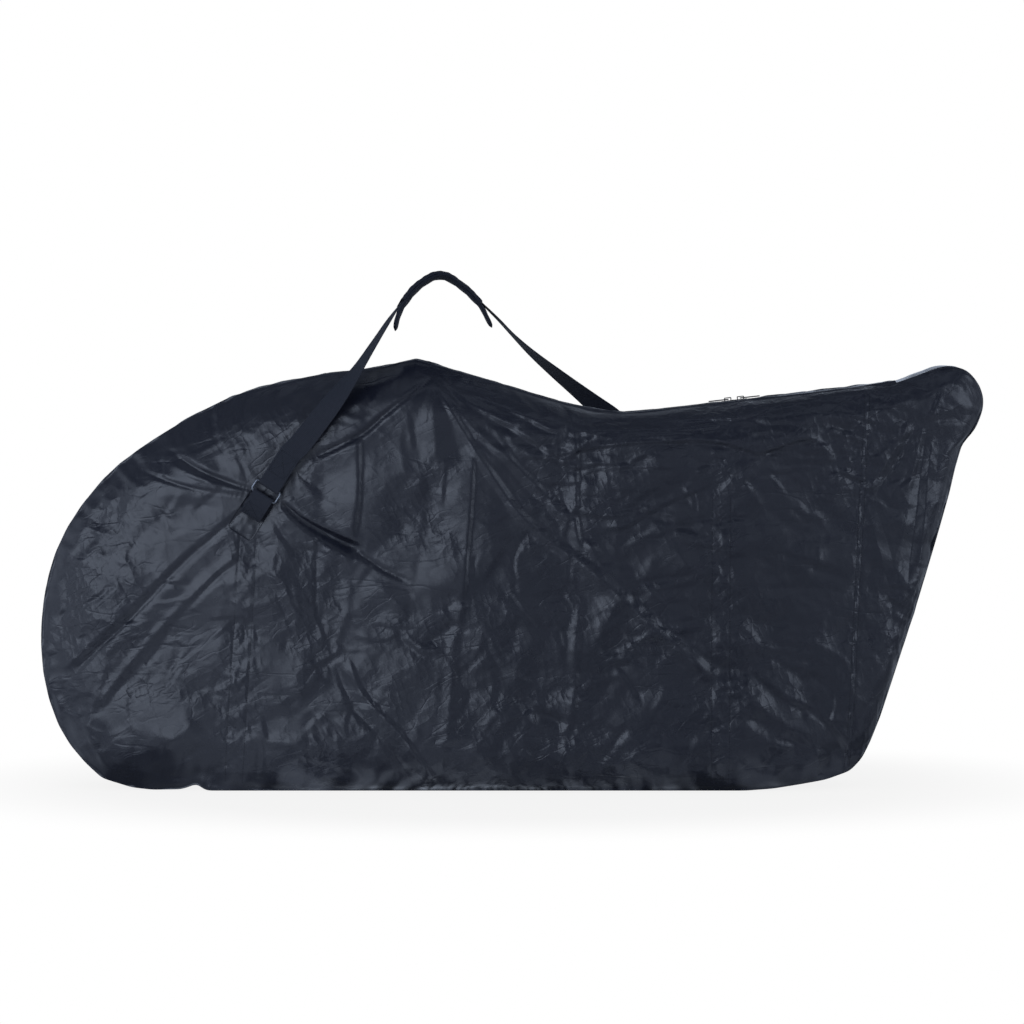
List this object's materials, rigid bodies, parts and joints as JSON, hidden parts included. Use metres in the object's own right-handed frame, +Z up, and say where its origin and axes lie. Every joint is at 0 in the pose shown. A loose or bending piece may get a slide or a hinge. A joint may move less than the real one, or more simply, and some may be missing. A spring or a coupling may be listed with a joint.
{
  "type": "bike travel bag",
  "caption": "Soft, zipped travel bag for a whole bicycle with one wheel out, with a flat base, a padded shoulder strap on steel rings and a wheel pocket inside.",
  "frame": {"origin": "middle of the bag's length and depth, on the floor under its flat base", "axes": "+X towards the rounded front nose, +Y from the near side to the far side, +Z up"},
  "size_m": [1.697, 0.2709, 0.9259],
  "materials": {
    "coated_nylon": "satin",
    "base_cloth": "matte",
    "lining": "matte",
    "zip_tape": "matte",
    "webbing": "matte",
    "pad_cloth": "matte",
    "foam": "matte",
    "black_plastic": "satin",
    "zip_metal": "satin",
    "steel": "satin"
  },
  "bodies": {
    "bag": {"near_main_panel": "coated_nylon", "far_main_panel": "coated_nylon", "near_front_panel": "coated_nylon", "far_front_panel": "coated_nylon", "rear_gusset": "coated_nylon", "nose_gusset": "coated_nylon", "front_gusset": "coated_nylon", "top_gusset_near": "coated_nylon", "top_gusset_far": "coated_nylon", "base_panel": "base_cloth", "patch_near": "base_cloth", "patch_far": "base_cloth", "seam_binding_near": "lining", "seam_binding_far": "lining", "wheel_pocket": "lining", "zip_tape_near": "zip_tape", "zip_tape_far": "zip_tape", "load_tape_rear_near": "webbing", "load_tape_rear_far": "webbing", "load_tape_rear_base": "webbing", "load_tape_front_near": "webbing", "load_tape_front_far": "webbing", "load_tape_front_base": "webbing", "strap_tab_near": "webbing", "strap_tab_far": "webbing", "shoulder_strap": "webbing", "shoulder_pad": "pad_cloth", "pad_cover": "pad_cloth", "base_pad": "foam", "zip_teeth_near": "black_plastic", "zip_teeth_far": "black_plastic", "zip_stop_rear": "black_plastic", "zip_stop_front": "black_plastic"},
    "rear_slider": {"slider_rear": "zip_metal"},
    "rear_pull": {"pull_rear": "zip_metal"},
    "front_slider": {"slider_front": "zip_metal"},
    "front_pull": {"pull_front": "zip_metal"},
    "near_ring": {"ring_near": "steel"},
    "far_ring": {"ring_far": "steel"},
    "strap_adjuster": {"adjuster": "black_plastic"}
  },
  "joints": [
    {"name": "rear_slider_travel", "type": "slide", "parent": "bag", "child": "rear_slider", "axis": [-0.9937, 0, -0.112], "range_m": [0, 0.17]},
    {"name": "front_slider_travel", "type": "slide", "parent": "bag", "child": "front_slider", "axis": [0.9937, 0, 0.112], "range_m": [0, 0.245]},
    {"name": "rear_pull_swing", "type": "hinge", "parent": "rear_slider", "child": "rear_pull", "pos_m": [0.39141, 0, 0.70239], "axis": [0, 1, 0], "range_deg": [0, 105]},
    {"name": "front_pull_swing", "type": "hinge", "parent": "front_slider", "child": "front_pull", "pos_m": [0.41446, 0, 0.70499], "axis": [0, -1, 0], "range_deg": [0, 105]},
    {"name": "near_ring_swing", "type": "hinge", "parent": "bag", "child": "near_ring", "pos_m": [-0.44122, -0.1268, 0.53251], "axis": [0.8387, 0, -0.5446], "range_deg": [-5, 5]},
    {"name": "far_ring_swing", "type": "hinge", "parent": "bag", "child": "far_ring", "pos_m": [0.36146, 0.1268, 0.52013], "axis": [0.6374, 0, 0.7705], "range_deg": [-5, 5]},
    {"name": "adjuster_slide", "type": "slide", "parent": "bag", "child": "strap_adjuster", "axis": [-0.7705, 0, 0.6374], "range_m": [-0.085, 0.045]}
  ]
}
